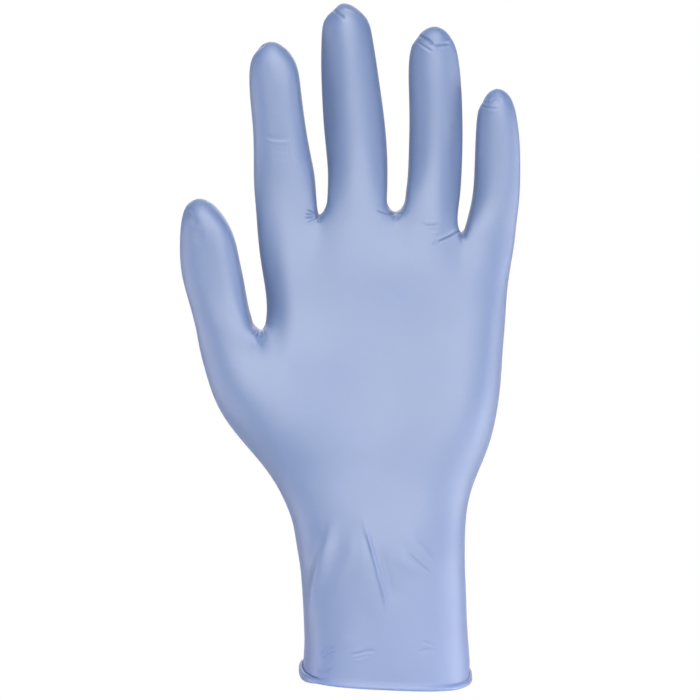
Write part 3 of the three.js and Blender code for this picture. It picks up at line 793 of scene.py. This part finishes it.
# Camera: the place it looks at, its rise above the level, the size of a pixel there, pixels across, and
# sensor
AIM = Vector((-12.4 * MM, 0.0, 116.5 * MM))
CAMERA_RISE = math.radians(5)
MM_PER_PIXEL = 0.3556
PIXELS = 700
SENSOR = 36.0

ROOM_COLOUR = (0.55, 0.72, 1.0)
ROOM_STRENGTH = 0.22

# Softboxes: degrees round from the front to the right, degrees up, distance, width, height, power, colour
SOFTBOXES = table("name round up distance width height power colour", [
    ("key_front", 2, 18, 1.6, 1.8, 2.2, 50.5, (1.0, 0.975, 0.945)),
    ("top", 0, 70, 1.2, 0.8, 0.8, 6.0, (1.0, 1.0, 0.98)),
    ("side_left", -92, -14, 1.2, 0.8, 0.8, 6.0, (1.0, 0.94, 0.98)),
    ("side_right", 94, -14, 1.2, 0.8, 0.8, 9.0, (1.0, 0.96, 0.98)),
    ("cuff_left", -60, -26, 0.34, 0.16, 0.2, 0.12, (1.0, 0.94, 0.94)),
    ("cuff_right", 60, -26, 0.34, 0.16, 0.2, 0.42, (1.0, 0.94, 0.94)),
    ("back", 180, 30, 1.4, 1.4, 1.0, 12.0, (1.0, 0.98, 0.96)),
])


def make_camera(settings):
    """Level view of the palm from a little above, as wide as the picture."""
    data = bpy.data.cameras.new("camera")
    data.sensor_width = SENSOR
    data.lens = SENSOR * settings.camera_distance / (PIXELS * MM_PER_PIXEL * MM)
    camera = bpy.data.objects.new("camera", data)
    bpy.context.scene.collection.objects.link(camera)
    back = Vector((0, -math.cos(CAMERA_RISE), math.sin(CAMERA_RISE)))
    camera.location = AIM + settings.camera_distance * back
    camera.rotation_mode = "QUATERNION"
    camera.rotation_quaternion = (-back).to_track_quat("-Z", "Y")
    data.clip_start = 0.01
    data.clip_end = 50
    bpy.context.scene.camera = camera


def make_backdrop(settings):
    """Floor and wall in one sheet, with a round corner behind the glove."""
    floor_height = -1.25
    floor_side = 12.0
    wall_place = 2.4
    wall_height = 5.0
    corner = 1.0
    corner_steps = 16
    bpy.ops.object.select_all(action="DESELECT")
    floor_middle = (0, wall_place - floor_side / 2, floor_height)
    bpy.ops.mesh.primitive_plane_add(size=floor_side, location=floor_middle)
    backdrop = bpy.context.object
    backdrop.name = "backdrop"
    bpy.ops.object.transform_apply(location=True, rotation=False, scale=False)
    bpy.ops.object.mode_set(mode="EDIT")
    bpy.ops.mesh.select_mode(type="EDGE")
    bpy.ops.mesh.select_all(action="DESELECT")
    bpy.ops.object.mode_set(mode="OBJECT")
    for edge in backdrop.data.edges:
        edge.select = all(backdrop.data.vertices[v].co.y > wall_place - 0.01 for v in edge.vertices)
    bpy.ops.object.mode_set(mode="EDIT")
    bpy.ops.mesh.extrude_edges_move(TRANSFORM_OT_translate={"value": (0, 0, wall_height)})
    bpy.ops.object.mode_set(mode="OBJECT")
    bevel = backdrop.modifiers.new("Round corner", "BEVEL")
    bevel.width = corner
    bevel.segments = corner_steps
    bevel.limit_method = "ANGLE"
    bpy.ops.object.modifier_apply(modifier=bevel.name)
    bpy.ops.object.shade_smooth()
    backdrop.data.materials.append(stage_material(settings))


def light_from(background, colour, strength):
    """Sets the colour and strength of a background, and gives its light."""
    background.inputs["Color"].default_value = (*colour, 1)
    background.inputs["Strength"].default_value = strength
    return background.outputs["Background"]


def make_world():
    """Room that is white to the camera, dark in the film's gloss, and a faint blue light to the rest."""
    world = bpy.data.worlds.new("studio")
    bpy.context.scene.world = world
    world.use_nodes = True
    tree = world.node_tree
    path = tree.nodes.new("ShaderNodeLightPath")
    room = light_from(tree.nodes["Background"], ROOM_COLOUR, ROOM_STRENGTH)
    dark = light_from(tree.nodes.new("ShaderNodeBackground"), (0, 0, 0), 1.0)
    white = light_from(tree.nodes.new("ShaderNodeBackground"), (1, 1, 1), 1.0)
    mirrored = add_mix(tree, path.outputs["Is Glossy Ray"], room, dark)
    seen = add_mix(tree, path.outputs["Is Camera Ray"], mirrored, white)
    tree.links.new(seen, tree.nodes["World Output"].inputs["Surface"])


# Operators

class GLOVE_OT_film(bpy.types.Operator):
    """Build the glove with its folds, creases and rolled edge"""

    bl_idname = "exam_glove.film"
    bl_label = "Build Glove"

    def execute(self, context):
        settings = context.scene.exam_glove
        glove = make_film(settings)
        glove.data.materials.append(nitrile_material(settings))
        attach(glove, "root")
        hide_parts(CAD_NODE)
        return {"FINISHED"}


class GLOVE_OT_stage(bpy.types.Operator):
    """Set up the floor, backdrop, softboxes and camera"""

    bl_idname = "exam_glove.stage"
    bl_label = "Set Stage"

    def execute(self, context):
        settings = context.scene.exam_glove
        make_backdrop(settings)
        make_world()
        make_camera(settings)
        for row in SOFTBOXES:
            turn = math.radians(row["round"])
            rise = math.radians(row["up"])
            toward = Vector((
                math.sin(turn) * math.cos(rise), -math.cos(turn) * math.cos(rise), math.sin(rise)))
            add_area_light(
                row["name"], AIM + row["distance"] * toward, AIM, row["width"], row["height"],
                row["power"], row["colour"])
        context.scene.view_settings.view_transform = "Standard"
        return {"FINISHED"}


class GLOVE_PT_panel(bpy.types.Panel):
    """Lists the glove's settings and steps."""

    bl_label = "Exam Glove"
    bl_idname = "GLOVE_PT_panel"
    bl_space_type = "VIEW_3D"
    bl_region_type = "UI"
    bl_category = "Exam Glove"

    def draw(self, context):
        layout = self.layout
        settings = context.scene.exam_glove
        for name in ExamGloveSettings.__annotations__:
            layout.prop(settings, name)
        layout.operator(GLOVE_OT_film.bl_idname)
        layout.operator(GLOVE_OT_stage.bl_idname)


CLASSES = (ExamGloveSettings, GLOVE_OT_film, GLOVE_OT_stage, GLOVE_PT_panel)


def register():
    """Adds the classes and the settings to Blender."""
    for cls in CLASSES:
        bpy.utils.register_class(cls)
    bpy.types.Scene.exam_glove = bpy.props.PointerProperty(type=ExamGloveSettings)


def unregister():
    """Takes them out again."""
    del bpy.types.Scene.exam_glove
    for cls in reversed(CLASSES):
        bpy.utils.unregister_class(cls)


def main():
    """Builds the glove and its stage."""
    register()
    bpy.ops.exam_glove.film()
    bpy.ops.exam_glove.stage()


if __name__ == "__main__":
    main()
